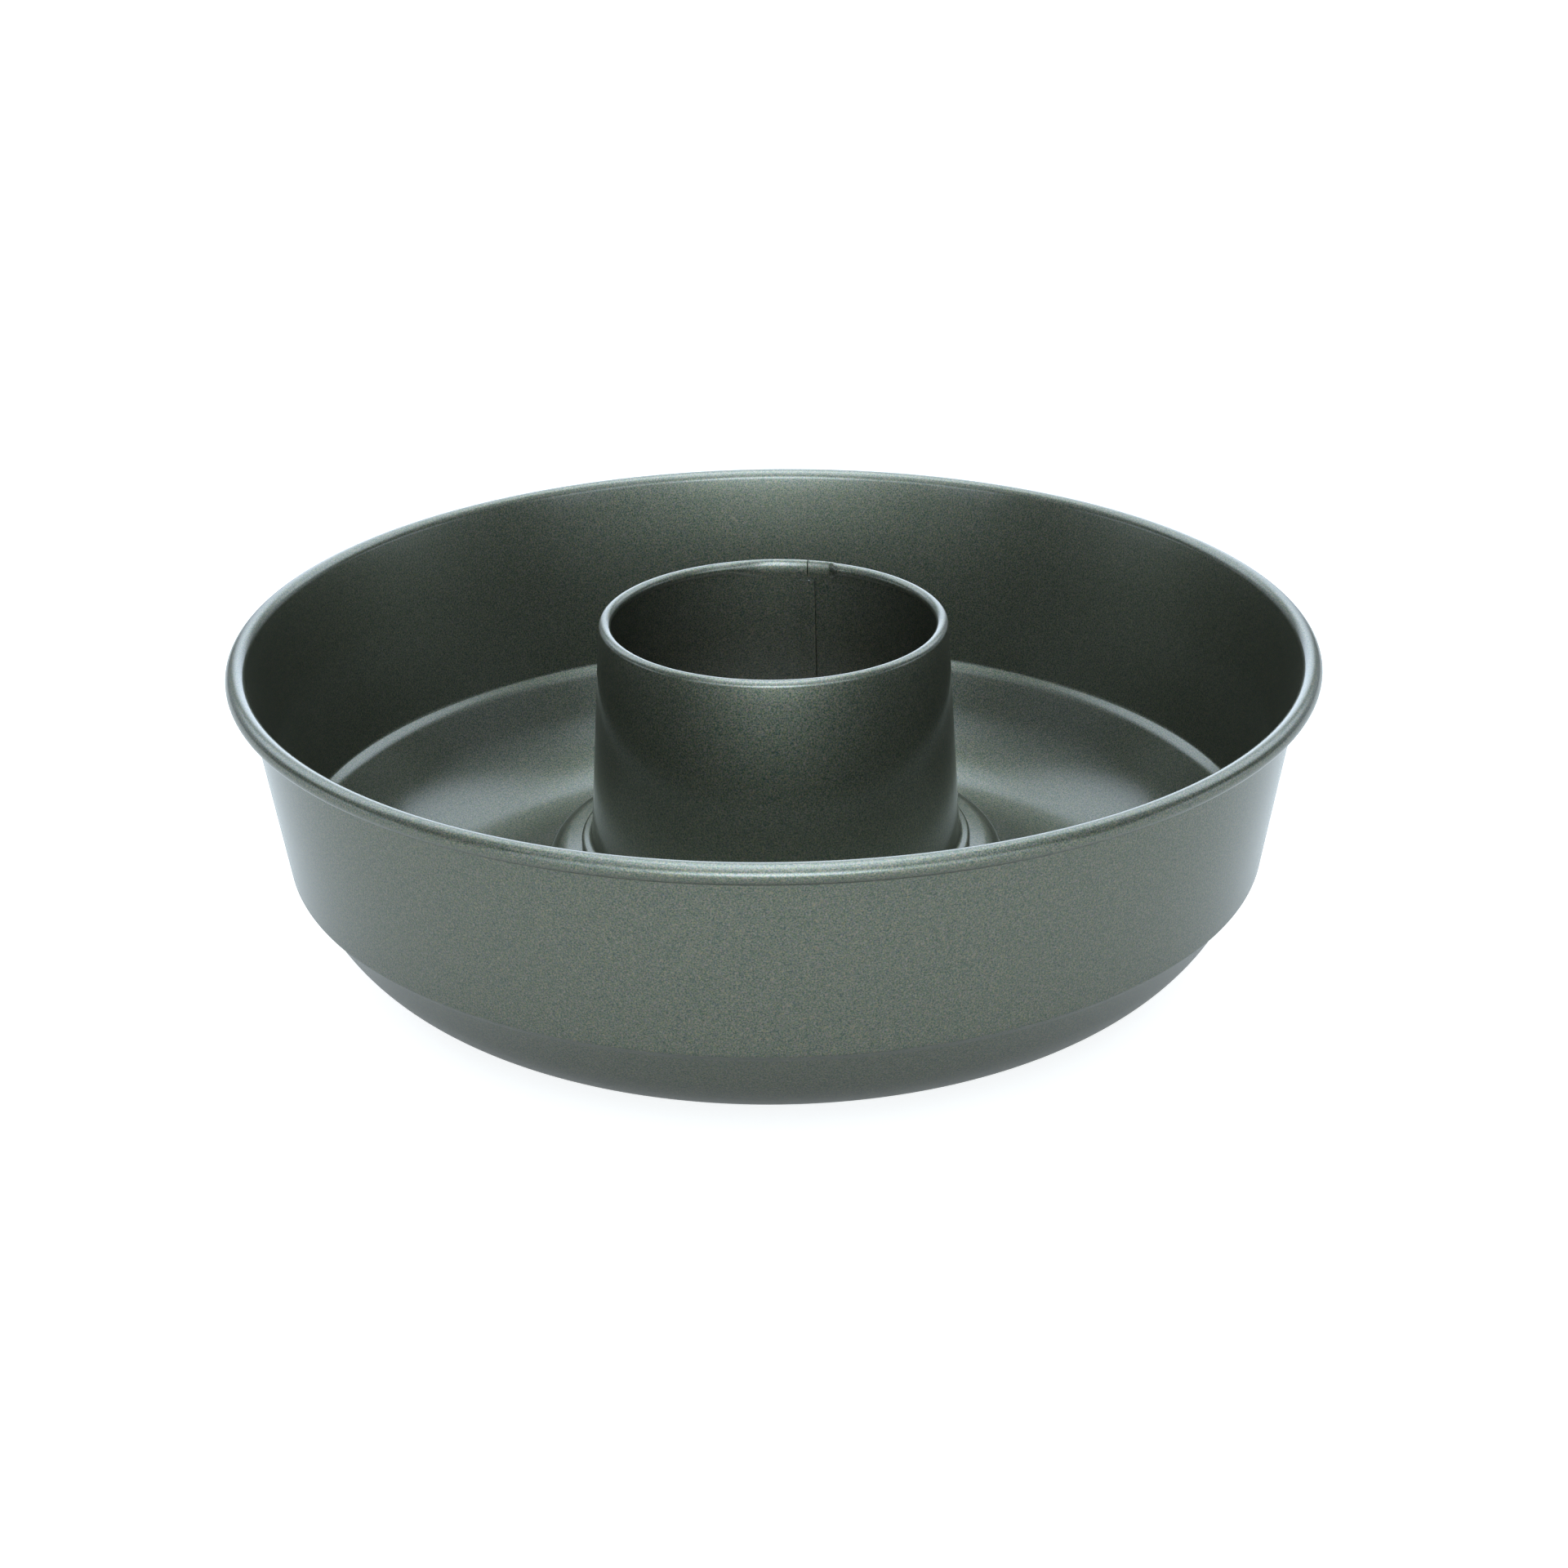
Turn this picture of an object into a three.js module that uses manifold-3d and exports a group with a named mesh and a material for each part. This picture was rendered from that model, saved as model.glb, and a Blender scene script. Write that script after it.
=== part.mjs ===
// Ring cake pan of coated sheet steel: a drawn shell with a rolled rim and a deep ring trough,
// and a separate tapered centre tube clinched into the opening in the shell's floor.
// Millimetres, +Z up. The origin is on the axis, in the plane that the pan rests on.

import * as THREE from 'three';
import { mergeVertices } from 'three/addons/utils/BufferGeometryUtils.js';
import Module from 'manifold-3d';

const { degToRad: deg, lerp, smoothstep } = THREE.MathUtils;

// Sheet and fits
const SHEET = 0.5; // coated steel sheet of both pieces
const FIT = 0.3; // clearance between sheets that lie against each other
const FOLD_RADIUS = 0.3; // inside radius of the tight folds

// Shell
const RIM_DIAMETER = 272; // over the rolled rim
const RIM_HEIGHT = 81.4; // from the table to the top of the rim
const RIM_BEAD = 5; // thickness of the rolled rim
const WALL_TAPER = deg(8.9); // lean of the outer wall from the vertical
const LEDGE_HEIGHT = 27.4; // inner edge of the ledge above the table
const LEDGE_WIDTH = 2.2; // how far the ledge steps in from the wall
const LEDGE_SLOPE = deg(36); // fall of the ledge towards the trough
const LEDGE_CORNER = 5; // rounding between the wall and the ledge
const LEDGE_EDGE = 1; // rounding of the ledge's inner edge
const TROUGH_OUTER_SLOPE = deg(59.5); // fall of the trough's outer side
const TROUGH_INNER_SLOPE = deg(65); // fall of the trough's inner side
const TROUGH_INNER_RADIUS = 16; // rounding between the inner side and the level ring
const LEVEL_WIDTH = 4.8; // level ring at the bottom, which the pan rests on
const CREST_HEIGHT = 25.6; // top of the floor round the centre opening
const CREST_RADIUS = 5; // rounding of the crest towards the trough
const CREST_LAND = 3.4; // level strip of the crest outside the tube's flange

// Centre tube
const TUBE_HEIGHT = 86; // from the table to the top of the curl
const TUBE_TOP_DIAMETER = 87.7; // outside, at the curl
const TUBE_FOOT_DIAMETER = 94.8; // outside, at the flange
const TUBE_CURL = 3.1; // thickness of the curl at the top
const FOOT_RADIUS = 1.2; // rounding between the tube and its flange
const FLANGE_WIDTH = 2.6; // folded flange that lies on the crest
const CLINCH_WIDTH = 2.8; // flare that holds the crest from below

// Lock seam of the tube, and the curl pressed flat on both sides of it
const SEAM_ANGLE = deg(77.5); // place of the seam round the axis
const SEAM_WIDTH = 4; // folded strip inside the tube
const PRESSED_CURL = 2; // thickness of the curl where it is pressed
const PRESSED_DEPTH = 5.7; // height of the oval that the pressed curl follows
const PRESSED_TURN = deg(218); // how far the pressed curl goes round that oval
const PRESS_LEFT = deg(13); // reach of the full pressing, counter-clockwise from the seam
const PRESS_LEFT_END = deg(31); // where the curl is round again on that side
const PRESS_RIGHT = deg(8.5); // reach of the full pressing, clockwise from the seam
const PRESS_RIGHT_END = deg(11.5); // where the curl is round again on that side

// Facets
const CHORD = 0.14; // how far a facet may lie from the arc of a profile
const RIM_FACETS = 9; // round the rolled rim's section
const CURL_FACETS = 7; // round the curl's section
const SHELL_SIDES = 64;
const TUBE_SIDES = 36; // round the tube, outside the pressed stretch
const PRESS_SIDES = 4; // along each stretch that eases from pressed to round

const wasm = await Module();
wasm.setup();

// Continues a path to a rounded corner, on the way to the point that follows it.
function roundCorner(path, corner, next, radius) {
  const back = path.currentPoint.clone().sub(corner);
  const ahead = next.clone().sub(corner);
  const half = Math.acos(back.dot(ahead) / (back.length() * ahead.length())) / 2;
  const reach = Math.min(radius / Math.tan(half), back.length(), 0.8 * ahead.length());
  const round = reach * Math.tan(half);
  const turn = back.cross(ahead);
  back.normalize();
  ahead.normalize();
  const centre = back.clone().add(ahead).setLength(round / Math.sin(half)).add(corner);
  const from = back.multiplyScalar(reach).add(corner).sub(centre);
  const to = ahead.multiplyScalar(reach).add(corner).sub(centre);
  path.absarc(centre.x, centre.y, round, from.angle(), to.angle(), turn > 0);
}

// Outline of sheet that follows a path along its middle. The path starts with the arc of a curl,
// which has a given number of facets, and goes on in lines and arcs.
function sheetSection(path, curlFacets) {
  const right = [];
  const left = [];
  let last = null;
  for (const curve of path.curves) {
    let steps = 1;
    if (curve === path.curves[0]) {
      steps = curlFacets;
    } else if (curve instanceof THREE.EllipseCurve) {
      const sweep = curve.getLength() / curve.xRadius;
      steps = Math.ceil(sweep / (2 * Math.acos(1 - CHORD / curve.xRadius)));
    }
    for (let i = 0; i <= steps; i++) {
      const point = curve.getPoint(i / steps);
      if (last && point.distanceTo(last) < 1e-4) continue;
      const along = curve.getTangent(i / steps);
      const side = new THREE.Vector2(-along.y, along.x).multiplyScalar(SHEET / 2);
      right.push(point.clone().sub(side));
      left.push(point.clone().add(side));
      last = point;
    }
  }
  return [...right, ...left.reverse()];
}

// Body of revolution about +Z, from an outline of radius and height.
function revolve(outline, sides) {
  const geometry = new THREE.LatheGeometry([...outline, outline[0]], sides);
  geometry.rotateX(Math.PI / 2);
  return geometry;
}

// Sheet that runs counter-clockwise round +Z through a list of angles, with an outline for each,
// and is closed at its two ends.
function sweepRound(angles, outlines) {
  const count = outlines[0].length;
  const corners = [];
  const triangles = [];
  const quad = (a, b, c, d) => triangles.push(a, b, c, a, c, d);
  angles.forEach((angle, i) => {
    for (const point of outlines[i]) {
      corners.push(point.x * Math.cos(angle), point.x * Math.sin(angle), point.y);
    }
  });
  for (let i = 0; i < angles.length - 1; i++) {
    for (let j = 0; j < count; j++) {
      const here = i * count + j;
      const next = i * count + ((j + 1) % count);
      quad(here, here + count, next + count, next);
    }
  }
  const last = (angles.length - 1) * count;
  for (let j = 0; j < count / 2 - 1; j++) {
    const across = count - 1 - j;
    quad(j, j + 1, across - 1, across);
    quad(last + j + 1, last + j, last + across, last + across - 1);
  }
  const geometry = new THREE.BufferGeometry();
  geometry.setAttribute('position', new THREE.Float32BufferAttribute(corners, 3));
  geometry.setIndex(triangles);
  return geometry;
}

function toSolid(geometry) {
  const bare = geometry.clone();
  bare.deleteAttribute('normal');
  bare.deleteAttribute('uv');
  const merged = mergeVertices(bare, 1e-4);
  const vertProperties = new Float32Array(merged.attributes.position.array);
  const triVerts = new Uint32Array(merged.index.array);
  return new wasm.Manifold(new wasm.Mesh({ numProp: 3, vertProperties, triVerts }));
}

function toGeometry(solid) {
  const mesh = solid.getMesh();
  const geometry = new THREE.BufferGeometry();
  geometry.setAttribute('position', new THREE.BufferAttribute(mesh.vertProperties, 3));
  geometry.setIndex(new THREE.BufferAttribute(mesh.triVerts, 1));
  const faceted = geometry.toNonIndexed();
  faceted.computeVertexNormals();
  return faceted;
}

// Upright block that stands across the tube's wall at the seam. The offset and the width run
// round the tube, and the block reaches from the axis to beyond the flange.
function seamBlock(offset, width, low, high) {
  const reach = TUBE_FOOT_DIAMETER / 2 + FLANGE_WIDTH + CLINCH_WIDTH;
  const block = new THREE.BoxGeometry(reach, width, high - low);
  block.translate(reach / 2, offset, (low + high) / 2);
  block.rotateZ(SEAM_ANGLE);
  return toSolid(block);
}

// Places that the two pieces share
const tubeTop = new THREE.Vector2((TUBE_TOP_DIAMETER - SHEET) / 2, TUBE_HEIGHT - TUBE_CURL / 2);
const neckRadius = (TUBE_FOOT_DIAMETER - SHEET) / 2;
const openingRadius = neckRadius + SHEET / 2 + FIT;
const flangeRadius = TUBE_FOOT_DIAMETER / 2 + FLANGE_WIDTH;
const crestLevel = CREST_HEIGHT - SHEET / 2;

// Shell, from the tucked end of the rolled rim, down the wall and through the trough to the opening
function shellSection() {
  const path = new THREE.Path();
  const bead = new THREE.Vector2((RIM_DIAMETER - RIM_BEAD) / 2, RIM_HEIGHT - RIM_BEAD / 2);
  const beadRadius = (RIM_BEAD - SHEET) / 2;
  const tuck = Math.acos(1 - (SHEET + FIT) / beadRadius);
  const wallStart = Math.PI - WALL_TAPER;
  path.absarc(bead.x, bead.y, beadRadius, wallStart + tuck - 2 * Math.PI, wallStart, false);

  const ledgeZ = LEDGE_HEIGHT + SHEET / 2;
  const cornerZ = ledgeZ + LEDGE_WIDTH * Math.tan(LEDGE_SLOPE);
  const wallTop = path.currentPoint;
  const cornerR = wallTop.x - (wallTop.y - cornerZ) * Math.tan(WALL_TAPER);
  const restZ = SHEET / 2;
  const corner = new THREE.Vector2(cornerR, cornerZ);
  const edge = new THREE.Vector2(cornerR - LEDGE_WIDTH, ledgeZ);
  const outerR = edge.x - (ledgeZ - restZ) / Math.tan(TROUGH_OUTER_SLOPE);
  const outer = new THREE.Vector2(outerR, restZ);
  const crestReach = CREST_RADIUS * Math.tan(TROUGH_INNER_SLOPE / 2);
  const crest = new THREE.Vector2(flangeRadius + CREST_LAND + crestReach, crestLevel);
  const innerR = crest.x + (crestLevel - restZ) / Math.tan(TROUGH_INNER_SLOPE);
  const inner = new THREE.Vector2(innerR, restZ);
  const innerReach = TROUGH_INNER_RADIUS * Math.tan(TROUGH_INNER_SLOPE / 2);
  const outerReach = outerR - LEVEL_WIDTH - innerReach - innerR;
  const outerRadius = outerReach / Math.tan(TROUGH_OUTER_SLOPE / 2);
  const opening = new THREE.Vector2(openingRadius, crestLevel);

  roundCorner(path, corner, edge, LEDGE_CORNER);
  roundCorner(path, edge, outer, LEDGE_EDGE);
  roundCorner(path, outer, inner, outerRadius);
  roundCorner(path, inner, crest, TROUGH_INNER_RADIUS);
  roundCorner(path, crest, opening, CREST_RADIUS);
  path.lineTo(opening.x, opening.y);
  return sheetSection(path, RIM_FACETS);
}

// Tube, from the tucked end of the curl, down the wall, out and back in the folded flange,
// through the opening and out again under the crest
const foldRadius = FOLD_RADIUS + SHEET / 2;
const flangeLow = crestLevel + SHEET + FIT;
const flangeTop = flangeLow + 2 * foldRadius;
const clinchLevel = crestLevel - SHEET - FIT;
const tubeLean = Math.atan((neckRadius - tubeTop.x) / (tubeTop.y - flangeTop));

// The pressing goes from 0, a round curl, to 1, a flat oval.
function tubeSection(pressing) {
  const path = new THREE.Path();
  const curlRadius = (TUBE_CURL - SHEET) / 2;
  const tuck = Math.acos(1 - (SHEET + FIT) / curlRadius);
  const across = lerp(curlRadius, (PRESSED_CURL - SHEET) / 2, pressing);
  const down = lerp(curlRadius, (PRESSED_DEPTH - SHEET) / 2, pressing);
  const end = lerp(2 * Math.PI + tubeLean - tuck, PRESSED_TURN, pressing);
  const curlZ = TUBE_HEIGHT - SHEET / 2 - down;
  path.absellipse(tubeTop.x - across, curlZ, across, down, end, tubeLean, true);

  const foot = new THREE.Vector2(neckRadius, flangeTop);
  const fold = new THREE.Vector2(flangeRadius - SHEET / 2 - foldRadius, flangeLow + foldRadius);
  const foldStart = new THREE.Vector2(fold.x, flangeTop);
  const neckHigh = new THREE.Vector2(neckRadius, flangeLow);
  const neckLow = new THREE.Vector2(neckRadius, clinchLevel);
  const clinch = new THREE.Vector2(TUBE_FOOT_DIAMETER / 2 + CLINCH_WIDTH, clinchLevel);
  roundCorner(path, foot, foldStart, FOOT_RADIUS);
  path.absarc(fold.x, fold.y, foldRadius, Math.PI / 2, -Math.PI / 2, true);
  roundCorner(path, neckHigh, neckLow, foldRadius);
  roundCorner(path, neckLow, clinch, foldRadius);
  path.lineTo(clinch.x, clinch.y);
  return sheetSection(path, CURL_FACETS);
}

// Angles of the tube's sections, counter-clockwise from one side of the seam's slit to the other
function tubeAngles() {
  const slit = FIT / TUBE_TOP_DIAMETER;
  const turn = 2 * Math.PI;
  const stops = [slit, PRESS_LEFT, PRESS_LEFT_END, turn - PRESS_RIGHT_END, turn - PRESS_RIGHT, turn - slit];
  const sides = [1, PRESS_SIDES, TUBE_SIDES, PRESS_SIDES, 1];
  const angles = [slit];
  sides.forEach((count, i) => {
    for (let k = 1; k <= count; k++) {
      angles.push(lerp(stops[i], stops[i + 1], k / count));
    }
  });
  return angles;
}

function pressingAt(angle) {
  const left = 1 - smoothstep(angle, PRESS_LEFT, PRESS_LEFT_END);
  const right = 1 - smoothstep(2 * Math.PI - angle, PRESS_RIGHT, PRESS_RIGHT_END);
  return Math.max(left, right);
}

// Sleeve inside the tube, between two depths below the wall's inner face, for the seam's strip
function seamSleeve(near, far, low, high) {
  const face = (z) => neckRadius - SHEET / 2 - (z - flangeTop) * Math.tan(tubeLean);
  const outline = [
    new THREE.Vector2(face(low) - far, low),
    new THREE.Vector2(face(low) - near, low),
    new THREE.Vector2(face(high) - near, high),
    new THREE.Vector2(face(high) - far, high),
  ];
  return toSolid(revolve(outline, TUBE_SIDES));
}

// The sheet's two ends meet at an open slit, and a strip folded from one end laps over the other.
function tubeSolid() {
  const seamLow = flangeTop + FOOT_RADIUS;
  const seamHigh = TUBE_HEIGHT - PRESSED_DEPTH;
  const strip = seamSleeve(FIT, FIT + SHEET, seamLow, seamHigh)
    .intersect(seamBlock(FIT, SEAM_WIDTH, seamLow - SHEET, seamHigh + SHEET));
  const bend = seamSleeve(-SHEET / 2, FIT + SHEET, seamLow, seamHigh)
    .intersect(seamBlock(FIT + (SEAM_WIDTH - SHEET) / 2, SHEET, seamLow - SHEET, seamHigh + SHEET));
  const angles = tubeAngles();
  const outlines = angles.map((angle) => tubeSection(pressingAt(angle)));
  const wall = sweepRound(angles, outlines).rotateZ(SEAM_ANGLE);
  return toSolid(wall).add(strip).add(bend);
}

const coating = { color: 0x5b5852, roughness: 0.45, metalness: 0.6 };

const shell = new THREE.Mesh(
  revolve(shellSection(), SHELL_SIDES),
  new THREE.MeshStandardMaterial(coating),
);
shell.name = 'pan_shell';

const tube = new THREE.Mesh(
  toGeometry(tubeSolid()),
  new THREE.MeshStandardMaterial(coating),
);
tube.name = 'centre_tube';

const pan = new THREE.Group();
pan.add(shell, tube);

export default pan;
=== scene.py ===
"""Ring cake pan of coated sheet steel, dressed for the studio.

The shell and the centre tube are rebuilt as smooth sheet from the solids' sizes, all but two
roundings, with the rolled rim, the ledge, the clinched flange and the flattened curl at the lock seam.
"""

from math import acos, atan, atan2, cos, hypot, pi, radians, sin, tan

import bpy
from mathutils import Matrix, Vector


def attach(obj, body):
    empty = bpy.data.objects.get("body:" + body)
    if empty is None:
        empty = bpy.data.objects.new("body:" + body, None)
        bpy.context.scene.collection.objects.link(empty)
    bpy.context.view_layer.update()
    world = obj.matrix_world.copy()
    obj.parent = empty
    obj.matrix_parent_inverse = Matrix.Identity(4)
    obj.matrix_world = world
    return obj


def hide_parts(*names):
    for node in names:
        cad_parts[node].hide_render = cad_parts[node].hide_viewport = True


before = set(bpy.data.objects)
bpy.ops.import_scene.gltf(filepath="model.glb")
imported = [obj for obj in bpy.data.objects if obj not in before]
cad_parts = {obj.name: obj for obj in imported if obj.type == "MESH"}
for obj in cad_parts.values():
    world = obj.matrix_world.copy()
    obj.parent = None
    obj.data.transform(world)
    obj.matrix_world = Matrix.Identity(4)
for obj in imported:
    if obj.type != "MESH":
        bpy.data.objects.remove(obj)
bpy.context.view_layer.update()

# Sizes in millimetres, as in the solids but for the ledge's two roundings, which follow its bright band.
SHEET = 0.5
FIT = 0.3
FOLD_RADIUS = 0.3

RIM_DIAMETER = 272
RIM_HEIGHT = 81.4
RIM_BEAD = 5
WALL_TAPER = radians(8.9)
LEDGE_HEIGHT = 27.4
LEDGE_WIDTH = 2.2
LEDGE_SLOPE = radians(36)
LEDGE_CORNER = 1.5
LEDGE_EDGE = 5
TROUGH_OUTER_SLOPE = radians(59.5)
TROUGH_INNER_SLOPE = radians(65)
TROUGH_INNER_RADIUS = 16
LEVEL_WIDTH = 4.8
CREST_HEIGHT = 25.6
CREST_RADIUS = 5
CREST_LAND = 3.4

TUBE_HEIGHT = 86
TUBE_TOP_DIAMETER = 87.7
TUBE_FOOT_DIAMETER = 94.8
TUBE_CURL = 3.1
FOOT_RADIUS = 1.2
FLANGE_WIDTH = 2.6
CLINCH_WIDTH = 2.8
SEAM_ANGLE = radians(77.5)
SEAM_WIDTH = 4
PRESSED_CURL = 2
PRESSED_DEPTH = 5.7
PRESSED_TURN = radians(218)
PRESS_LEFT = radians(13)
PRESS_LEFT_END = radians(31)
PRESS_RIGHT = radians(8.5)
PRESS_RIGHT_END = radians(11.5)

# Soft panels of the studio, from the back round to the camera's side: azimuth from the back,
# elevation and radiance. A panel off the middle stands on both sides. The pair below 0 degrees
# is partly behind the floor, so it shows in the rolled rim and hardly in the trough.
PANEL_SPREAD = radians(26)
LIGHT_COLOUR = (0.87, 1, 1.18, 1)
PANELS = [
    (0, 6, 3.0),
    (0, 25, 0.8),
    (0, 45, 2.4),
    (0, 74, 4.4),
    (0, 90, 3.0),
    (45, 12, 0.6),
    (45, 40, 3.0),
    (90, -6, 2.0),
    (90, 42, 0.4),
    (140, 55, 1.4),
    (145, 10, 2.6),
    (180, 68, 2.8),
    (180, 30, 1.6),
    (180, 8, 9.0),
]

# The floor's reach in metres, its colour and its glow by the kind of ray. The glow fills the shadow
# for the camera and stays faint in the metal.
FLOOR_REACH = 6
FLOOR_COLOUR = (0.5, 0.5, 0.465, 1)
FLOOR_GLOW = {"Is Camera Ray": 0.76, "Is Glossy Ray": 0.12, "Is Transmission Ray": 0.12}

# Camera as fitted to the photograph: its film and lens in millimetres, its place in metres.
SENSOR_WIDTH = 36
LENS = 68.734
CLIP_START = 0.01
CAMERA_PLACE = (0, -0.70143, 0.35191)
CAMERA_TURN = radians(-0.182)
CAMERA_DOWN = radians(23.957)
CAMERA_ROLL = radians(-0.572)

# Coating: a fine grain that goes from dark, smoother specks to light, rougher ones.
GRAIN_SCALE = 2800
GRAIN_LOW = 0.3
GRAIN_HIGH = 0.7
DARK_SPECK = (0.052, 0.058, 0.042, 1)
LIGHT_SPECK = (0.150, 0.163, 0.116, 1)
SPECK_HUE_LEAST = (0.3, 0.6, 0.3)
SPECK_HUE_RANGE = (1.4, 0.8, 1.4)
ROUGHNESS_LOW = 0.38
ROUGHNESS_HIGH = 0.48

MM = 0.001
SHELL_SIDES = 288
TUBE_SIDES = 240
SEAM_ROWS = 24
SAME_POINT = 0.0001
CORNER_SHARE = 0.8
SHARP_EDGE = radians(40)

# Places of the colour sockets on a Mix node.
MIX_A = 6
MIX_B = 7
MIX_RESULT = 2


class Path:
    """Line of lines and arcs, kept as points with the direction of travel at each."""

    def __init__(self):
        self.points = []

    def add(self, x, y, dx, dy):
        if self.points and hypot(x - self.points[-1][0], y - self.points[-1][1]) < SAME_POINT:
            return
        self.points.append((x, y, dx, dy))

    def arc(self, cx, cy, rx, ry, start, end, steps):
        sign = 1 if end > start else -1
        for i in range(steps + 1):
            a = start + (end - start) * i / steps
            dx = -sign * rx * sin(a)
            dy = sign * ry * cos(a)
            length = hypot(dx, dy)
            self.add(cx + rx * cos(a), cy + ry * sin(a), dx / length, dy / length)

    def line(self, x, y, steps=1):
        x0, y0 = self.points[-1][:2]
        length = hypot(x - x0, y - y0)
        for i in range(steps + 1):
            t = i / steps
            self.add(x0 + (x - x0) * t, y0 + (y - y0) * t, (x - x0) / length, (y - y0) / length)

    def corner(self, corner, ahead, radius, steps, run=1):
        """Line to a rounded corner, and the arc round it towards the next corner.

        The arc takes at most a share of the way to the next corner.
        """
        back = Vector(self.points[-1][:2]) - Vector(corner)
        on = Vector(ahead) - Vector(corner)
        half = back.angle(on) / 2
        reach = min(radius / tan(half), back.length, CORNER_SHARE * on.length)
        bend = reach * tan(half)
        turn = back.x * on.y - back.y * on.x
        back.normalize()
        on.normalize()
        centre = Vector(corner) + (back + on).normalized() * (bend / sin(half))
        first = Vector(corner) + back * reach
        self.line(first.x, first.y, run)
        start = atan2(first.y - centre.y, first.x - centre.x)
        sweep = pi - 2 * half
        end = start - sweep if turn > 0 else start + sweep
        self.arc(centre.x, centre.y, bend, bend, start, end, steps)

    def section(self):
        """Closed outline of the sheet that has this line along its middle."""
        right = [(x + dy * SHEET / 2, y - dx * SHEET / 2) for x, y, dx, dy in self.points]
        left = [(x - dy * SHEET / 2, y + dx * SHEET / 2) for x, y, dx, dy in self.points]
        return right + left[::-1]


neck_radius = (TUBE_FOOT_DIAMETER - SHEET) / 2
opening_radius = neck_radius + SHEET / 2 + FIT
flange_radius = TUBE_FOOT_DIAMETER / 2 + FLANGE_WIDTH
crest_level = CREST_HEIGHT - SHEET / 2
fold_radius = FOLD_RADIUS + SHEET / 2
flange_low = crest_level + SHEET + FIT
flange_top = flange_low + 2 * fold_radius
clinch_level = crest_level - SHEET - FIT
tube_top_r = (TUBE_TOP_DIAMETER - SHEET) / 2
tube_top_z = TUBE_HEIGHT - TUBE_CURL / 2
tube_lean = atan((neck_radius - tube_top_r) / (tube_top_z - flange_top))


def shell_section():
    path = Path()
    bead_r = (RIM_DIAMETER - RIM_BEAD) / 2
    bead_z = RIM_HEIGHT - RIM_BEAD / 2
    bead = (RIM_BEAD - SHEET) / 2
    tuck = acos(1 - (SHEET + FIT) / bead)
    start = pi - WALL_TAPER
    path.arc(bead_r, bead_z, bead, bead, start + tuck - 2 * pi, start, steps=44)
    ledge_z = LEDGE_HEIGHT + SHEET / 2
    corner_z = ledge_z + LEDGE_WIDTH * tan(LEDGE_SLOPE)
    top_r, top_z = path.points[-1][:2]
    corner_r = top_r - (top_z - corner_z) * tan(WALL_TAPER)
    rest_z = SHEET / 2
    edge_r = corner_r - LEDGE_WIDTH
    outer_r = edge_r - (ledge_z - rest_z) / tan(TROUGH_OUTER_SLOPE)
    crest_reach = CREST_RADIUS * tan(TROUGH_INNER_SLOPE / 2)
    crest_r = flange_radius + CREST_LAND + crest_reach
    inner_r = crest_r + (crest_level - rest_z) / tan(TROUGH_INNER_SLOPE)
    inner_reach = TROUGH_INNER_RADIUS * tan(TROUGH_INNER_SLOPE / 2)
    outer_reach = outer_r - LEVEL_WIDTH - inner_reach - inner_r
    outer_radius = outer_reach / tan(TROUGH_OUTER_SLOPE / 2)
    path.corner((corner_r, corner_z), (edge_r, ledge_z), LEDGE_CORNER, steps=10, run=10)
    path.corner((edge_r, ledge_z), (outer_r, rest_z), LEDGE_EDGE, steps=5)
    path.corner((outer_r, rest_z), (inner_r, rest_z), outer_radius, steps=24, run=4)
    path.corner((inner_r, rest_z), (crest_r, crest_level), TROUGH_INNER_RADIUS, steps=16, run=2)
    path.corner((crest_r, crest_level), (opening_radius, crest_level), CREST_RADIUS, steps=10, run=3)
    path.line(opening_radius, crest_level, steps=2)
    return path.section()


def smooth(t):
    t = min(max(t, 0.0), 1.0)
    return t * t * (3 - 2 * t)


def flattening(angle):
    """How flat the curl is pressed beside the seam, from 0, round, to 1, flat on the wall."""
    side = (angle - SEAM_ANGLE + pi) % (2 * pi) - pi
    if side > 0:
        return smooth((PRESS_LEFT_END - side) / (PRESS_LEFT_END - PRESS_LEFT))
    return smooth((PRESS_RIGHT_END + side) / (PRESS_RIGHT_END - PRESS_RIGHT))


def tube_section(flat):
    path = Path()
    curl = (TUBE_CURL - SHEET) / 2
    tuck = acos(1 - (SHEET + FIT) / curl)
    rx = curl + ((PRESSED_CURL - SHEET) / 2 - curl) * flat
    ry = curl + ((PRESSED_DEPTH - SHEET) / 2 - curl) * flat
    end = (2 * pi + tube_lean - tuck) * (1 - flat) + PRESSED_TURN * flat
    top = TUBE_HEIGHT - SHEET / 2
    path.arc(tube_top_r - rx, top - ry, rx, ry, end, tube_lean, steps=30)
    fold_r = flange_radius - SHEET / 2 - fold_radius
    path.corner((neck_radius, flange_top), (fold_r, flange_top), FOOT_RADIUS, steps=6, run=14)
    path.arc(fold_r, flange_low + fold_radius, fold_radius, fold_radius, pi / 2, -pi / 2, steps=12)
    path.corner((neck_radius, flange_low), (neck_radius, clinch_level), fold_radius, steps=6)
    path.corner((neck_radius, clinch_level), (flange_radius, clinch_level), fold_radius, steps=6)
    path.line(TUBE_FOOT_DIAMETER / 2 + CLINCH_WIDTH, clinch_level)
    return path.section()


def piece(name, verts, faces, node):
    mesh = bpy.data.meshes.new(name)
    mesh.from_pydata([(x * MM, y * MM, z * MM) for x, y, z in verts], [], faces)
    mesh.shade_smooth()
    mesh.set_sharp_from_angle(angle=SHARP_EDGE)
    obj = bpy.data.objects.new(name, mesh)
    bpy.context.collection.objects.link(obj)
    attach(obj, "root")
    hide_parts(node)
    return obj


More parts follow.
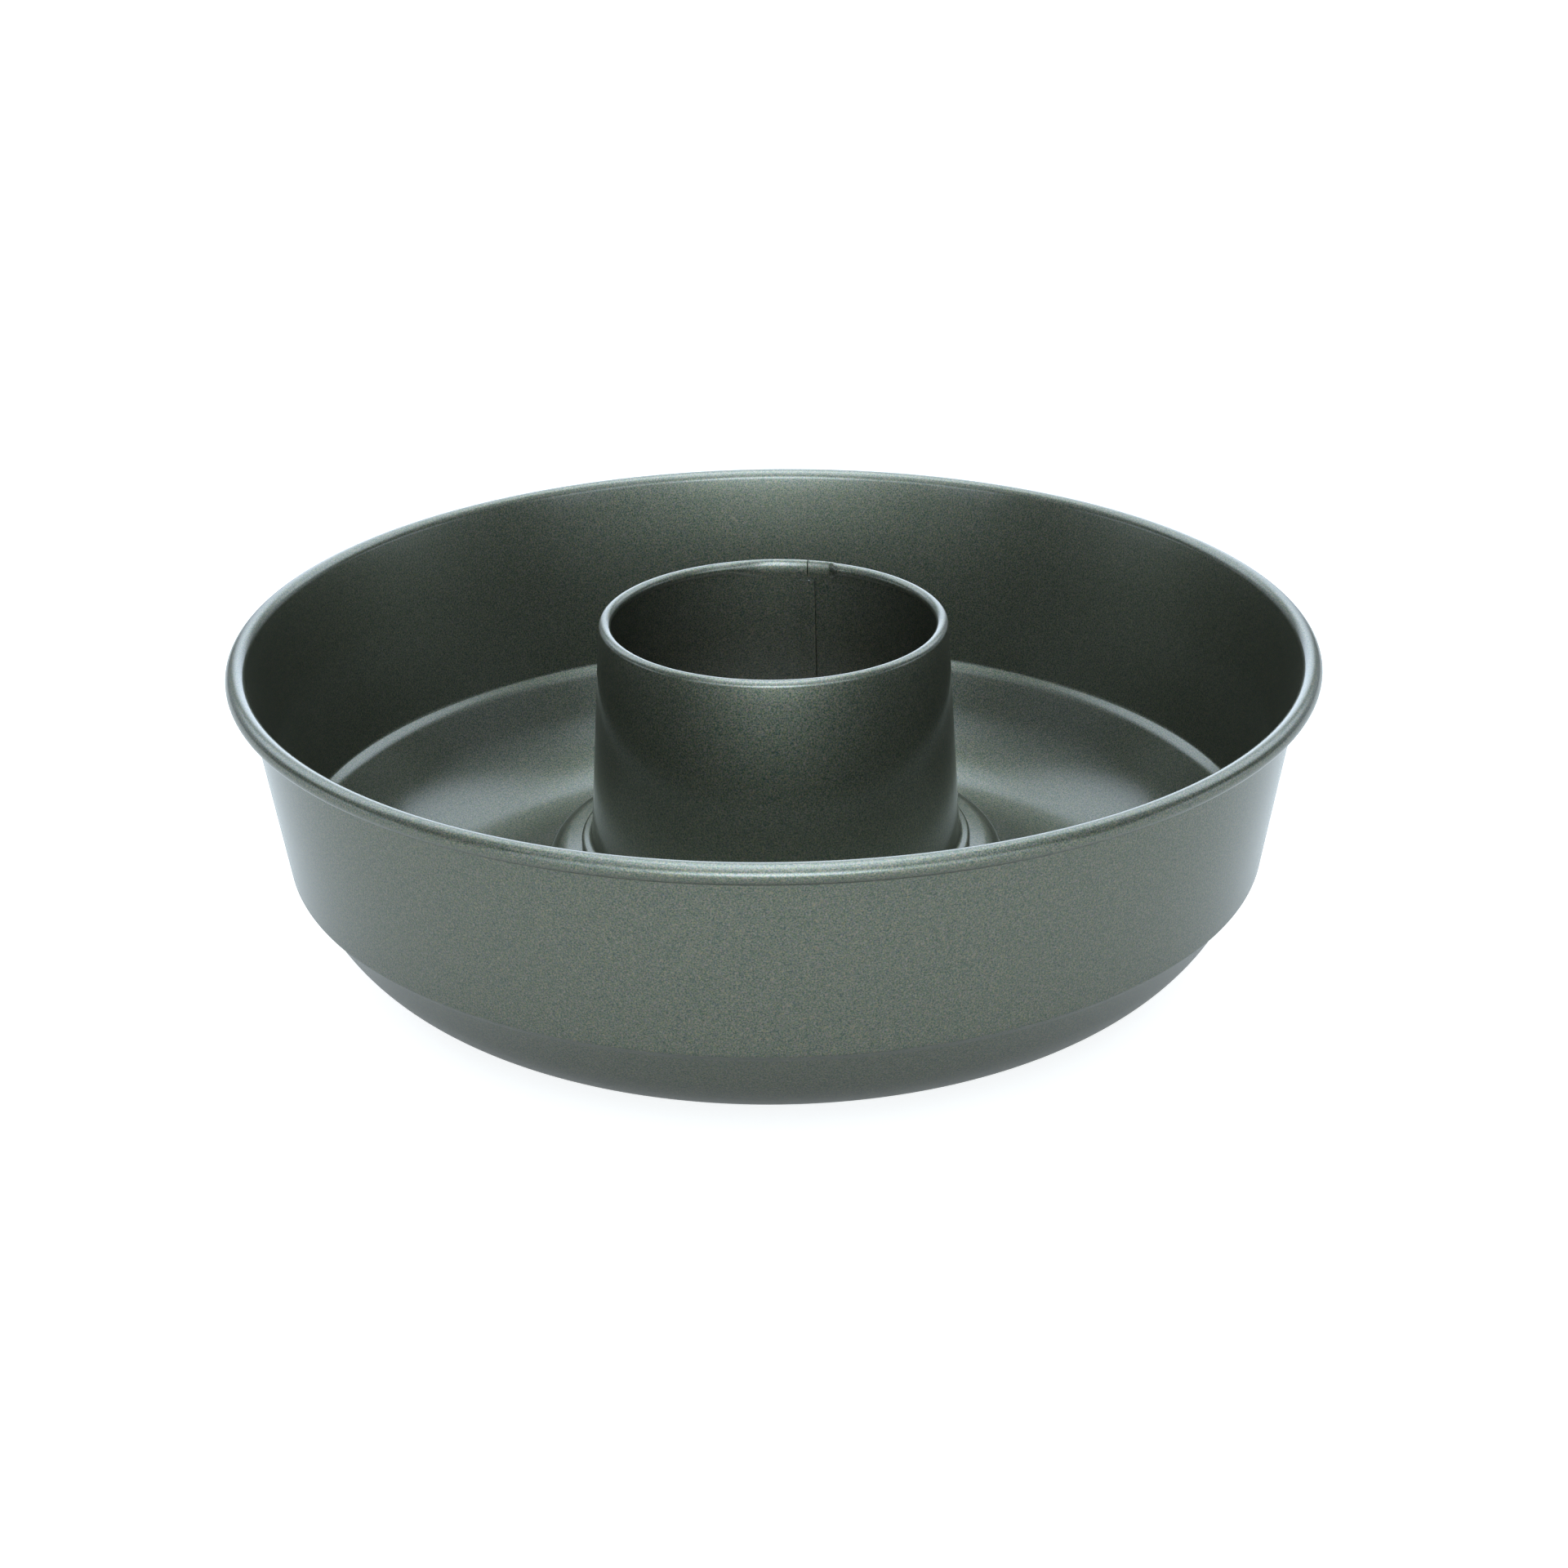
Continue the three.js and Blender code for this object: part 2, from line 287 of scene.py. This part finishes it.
def make_shell():
    section = shell_section()
    count = len(section)
    verts = []
    faces = []
    for i in range(SHELL_SIDES):
        a = 2 * pi * i / SHELL_SIDES
        verts += [(r * cos(a), r * sin(a), z) for r, z in section]
        base = i * count
        following = ((i + 1) % SHELL_SIDES) * count
        for j in range(count):
            k = (j + 1) % count
            faces.append((base + j, following + j, following + k, base + k))
    return piece("shell_sheet", verts, faces, "pan_shell")


def make_tube():
    """Tube from one side of the seam's slit round to the other, with the strip that laps over it."""
    verts = []
    faces = []
    count = 0
    slit = FIT / TUBE_TOP_DIAMETER
    for i in range(TUBE_SIDES + 1):
        a = SEAM_ANGLE + slit + (2 * pi - 2 * slit) * i / TUBE_SIDES
        section = tube_section(flattening(a))
        count = len(section)
        verts += [(r * cos(a), r * sin(a), z) for r, z in section]
        if i < TUBE_SIDES:
            here = i * count
            ahead = here + count
            for j in range(count):
                k = (j + 1) % count
                faces.append((here + j, ahead + j, ahead + k, here + k))
    half = count // 2
    last = TUBE_SIDES * count
    for j in range(half - 1):
        faces.append((j, j + 1, count - 2 - j, count - 1 - j))
        faces.append((last + j + 1, last + j, last + count - 1 - j, last + count - 2 - j))
    seam_strip(verts, faces)
    return piece("tube_sheet", verts, faces, "centre_tube")


def seam_strip(verts, faces):
    """Folded strip of the lock seam on the tube's inner face."""
    low = flange_top + FOOT_RADIUS
    high = TUBE_HEIGHT - PRESSED_DEPTH
    left = FIT + SEAM_WIDTH / 2
    right = FIT - SEAM_WIDTH / 2
    top = FIT + SHEET
    section = [
        (left, -SHEET / 2),
        (left, top),
        (right, top),
        (right, FIT),
        (left - SHEET, FIT),
        (left - SHEET, -SHEET / 2),
    ]
    start = len(verts)
    for i in range(SEAM_ROWS + 1):
        z = low + (high - low) * i / SEAM_ROWS
        face = neck_radius - SHEET / 2 - (z - flange_top) * tan(tube_lean)
        for along, depth in section:
            a = SEAM_ANGLE + along / face
            verts.append(((face - depth) * cos(a), (face - depth) * sin(a), z))
    count = len(section)
    for i in range(SEAM_ROWS):
        here = start + i * count
        above = here + count
        for j in range(count):
            k = (j + 1) % count
            faces.append((here + j, here + k, above + k, above + j))
    faces.append(tuple(start + j for j in range(count))[::-1])
    faces.append(tuple(start + SEAM_ROWS * count + j for j in range(count)))


def coating():
    mat = bpy.data.materials.new("nonstick_coating")
    mat.use_nodes = True
    nodes = mat.node_tree.nodes
    links = mat.node_tree.links
    shader = nodes["Principled BSDF"]
    shader.inputs["Metallic"].default_value = 0.92
    shader.inputs["Specular Tint"].default_value = (0.5, 0.5, 0.5, 1)
    shader.inputs["Coat Weight"].default_value = 0.85
    shader.inputs["Coat Roughness"].default_value = 0.16
    shader.inputs["Coat IOR"].default_value = 1.5
    place = nodes.new("ShaderNodeTexCoord")
    grain = nodes.new("ShaderNodeTexNoise")
    grain.inputs["Scale"].default_value = GRAIN_SCALE
    grain.inputs["Detail"].default_value = 2
    links.new(place.outputs["Object"], grain.inputs["Vector"])
    tint = nodes.new("ShaderNodeValToRGB")
    tint.color_ramp.elements[0].position = GRAIN_LOW
    tint.color_ramp.elements[0].color = DARK_SPECK
    tint.color_ramp.elements[1].position = GRAIN_HIGH
    tint.color_ramp.elements[1].color = LIGHT_SPECK
    links.new(grain.outputs["Fac"], tint.inputs["Fac"])
    speckle = nodes.new("ShaderNodeVectorMath")
    speckle.operation = "MULTIPLY_ADD"
    speckle.inputs[1].default_value = SPECK_HUE_RANGE
    speckle.inputs[2].default_value = SPECK_HUE_LEAST
    links.new(grain.outputs["Color"], speckle.inputs[0])
    coloured = nodes.new("ShaderNodeVectorMath")
    coloured.operation = "MULTIPLY"
    links.new(tint.outputs["Color"], coloured.inputs[0])
    links.new(speckle.outputs["Vector"], coloured.inputs[1])
    links.new(coloured.outputs["Vector"], shader.inputs["Base Color"])
    gloss = nodes.new("ShaderNodeMapRange")
    gloss.inputs["From Min"].default_value = GRAIN_LOW
    gloss.inputs["From Max"].default_value = GRAIN_HIGH
    gloss.inputs["To Min"].default_value = ROUGHNESS_LOW
    gloss.inputs["To Max"].default_value = ROUGHNESS_HIGH
    links.new(grain.outputs["Fac"], gloss.inputs["Value"])
    links.new(gloss.outputs["Result"], shader.inputs["Roughness"])
    bump = nodes.new("ShaderNodeBump")
    bump.inputs["Strength"].default_value = 0.12
    bump.inputs["Distance"].default_value = 0.0002
    links.new(grain.outputs["Fac"], bump.inputs["Height"])
    links.new(bump.outputs["Normal"], shader.inputs["Normal"])
    return mat


def floor_paper():
    mat = bpy.data.materials.new("floor_paper")
    mat.use_nodes = True
    tree = mat.node_tree
    tree.nodes.remove(tree.nodes["Principled BSDF"])
    matt = tree.nodes.new("ShaderNodeBsdfDiffuse")
    matt.inputs["Color"].default_value = FLOOR_COLOUR
    glow = tree.nodes.new("ShaderNodeEmission")
    ray = tree.nodes.new("ShaderNodeLightPath")
    strength = None
    for kind, level in FLOOR_GLOW.items():
        added = tree.nodes.new("ShaderNodeMath")
        added.operation = "MULTIPLY_ADD"
        added.inputs[1].default_value = level
        added.inputs[2].default_value = 0
        tree.links.new(ray.outputs[kind], added.inputs[0])
        if strength:
            tree.links.new(strength, added.inputs[2])
        strength = added.outputs[0]
    tree.links.new(strength, glow.inputs["Strength"])
    both = tree.nodes.new("ShaderNodeAddShader")
    tree.links.new(matt.outputs[0], both.inputs[0])
    tree.links.new(glow.outputs[0], both.inputs[1])
    tree.links.new(both.outputs[0], tree.nodes["Material Output"].inputs["Surface"])
    return mat


def studio():
    floor_mesh = bpy.data.meshes.new("floor")
    corners = [(x * FLOOR_REACH, y * FLOOR_REACH, 0) for x, y in ((-1, -1), (1, -1), (1, 1), (-1, 1))]
    floor_mesh.from_pydata(corners, [], [(0, 1, 2, 3)])
    floor_mesh.materials.append(floor_paper())
    floor = bpy.data.objects.new("floor", floor_mesh)
    bpy.context.collection.objects.link(floor)

    world = bpy.data.worlds.new("studio")
    bpy.context.scene.world = world
    world.use_nodes = True
    tree = world.node_tree
    place = tree.nodes.new("ShaderNodeTexCoord")
    total = None
    for azimuth, elevation, level in PANELS:
        sides = (1, -1) if 0 < azimuth < 180 else (1,)
        for side in sides:
            where = (radians(azimuth) * side, radians(elevation))
            panel = soft_panel(tree, place.outputs["Generated"], *where, level)
            if total:
                both = tree.nodes.new("ShaderNodeMath")
                tree.links.new(total, both.inputs[0])
                tree.links.new(panel, both.inputs[1])
                panel = both.outputs[0]
            total = panel

    # Camera rays meet plain white, and all other rays meet the panels.
    ray = tree.nodes.new("ShaderNodeLightPath")
    pick = tree.nodes.new("ShaderNodeMix")
    tree.links.new(ray.outputs["Is Camera Ray"], pick.inputs["Factor"])
    tree.links.new(total, pick.inputs["A"])
    pick.inputs["B"].default_value = 1
    tree.links.new(pick.outputs["Result"], tree.nodes["Background"].inputs["Strength"])
    tone = tree.nodes.new("ShaderNodeMix")
    tone.data_type = "RGBA"
    tree.links.new(ray.outputs["Is Camera Ray"], tone.inputs["Factor"])
    tone.inputs[MIX_A].default_value = LIGHT_COLOUR
    tone.inputs[MIX_B].default_value = (1, 1, 1, 1)
    tree.links.new(tone.outputs[MIX_RESULT], tree.nodes["Background"].inputs["Color"])


def soft_panel(tree, direction, azimuth, elevation, level):
    """Light of one panel by direction, full in its middle and gone at its spread."""
    towards = tree.nodes.new("ShaderNodeVectorMath")
    towards.operation = "DOT_PRODUCT"
    along = cos(elevation)
    middle = (sin(azimuth) * along, cos(azimuth) * along, sin(elevation))
    towards.inputs[1].default_value = middle
    tree.links.new(direction, towards.inputs[0])
    fade = tree.nodes.new("ShaderNodeMapRange")
    fade.interpolation_type = "SMOOTHSTEP"
    fade.inputs["From Min"].default_value = cos(PANEL_SPREAD)
    fade.inputs["From Max"].default_value = 1
    fade.inputs["To Min"].default_value = 0
    fade.inputs["To Max"].default_value = level
    tree.links.new(towards.outputs["Value"], fade.inputs["Value"])
    return fade.outputs["Result"]


def camera():
    data = bpy.data.cameras.new("camera")
    data.sensor_width = SENSOR_WIDTH
    data.sensor_fit = "HORIZONTAL"
    data.lens = LENS
    data.clip_start = CLIP_START
    obj = bpy.data.objects.new("camera", data)
    turn = Matrix.Rotation(CAMERA_TURN, 4, "Z")
    tilt = Matrix.Rotation(pi / 2 - CAMERA_DOWN, 4, "X")
    roll = Matrix.Rotation(CAMERA_ROLL, 4, "Z")
    obj.matrix_world = Matrix.Translation(CAMERA_PLACE) @ turn @ tilt @ roll
    bpy.context.collection.objects.link(obj)
    bpy.context.scene.camera = obj


camera()
coat = coating()
for part in (make_shell(), make_tube()):
    part.data.materials.append(coat)
studio()
bpy.context.scene.view_settings.view_transform = "Standard"
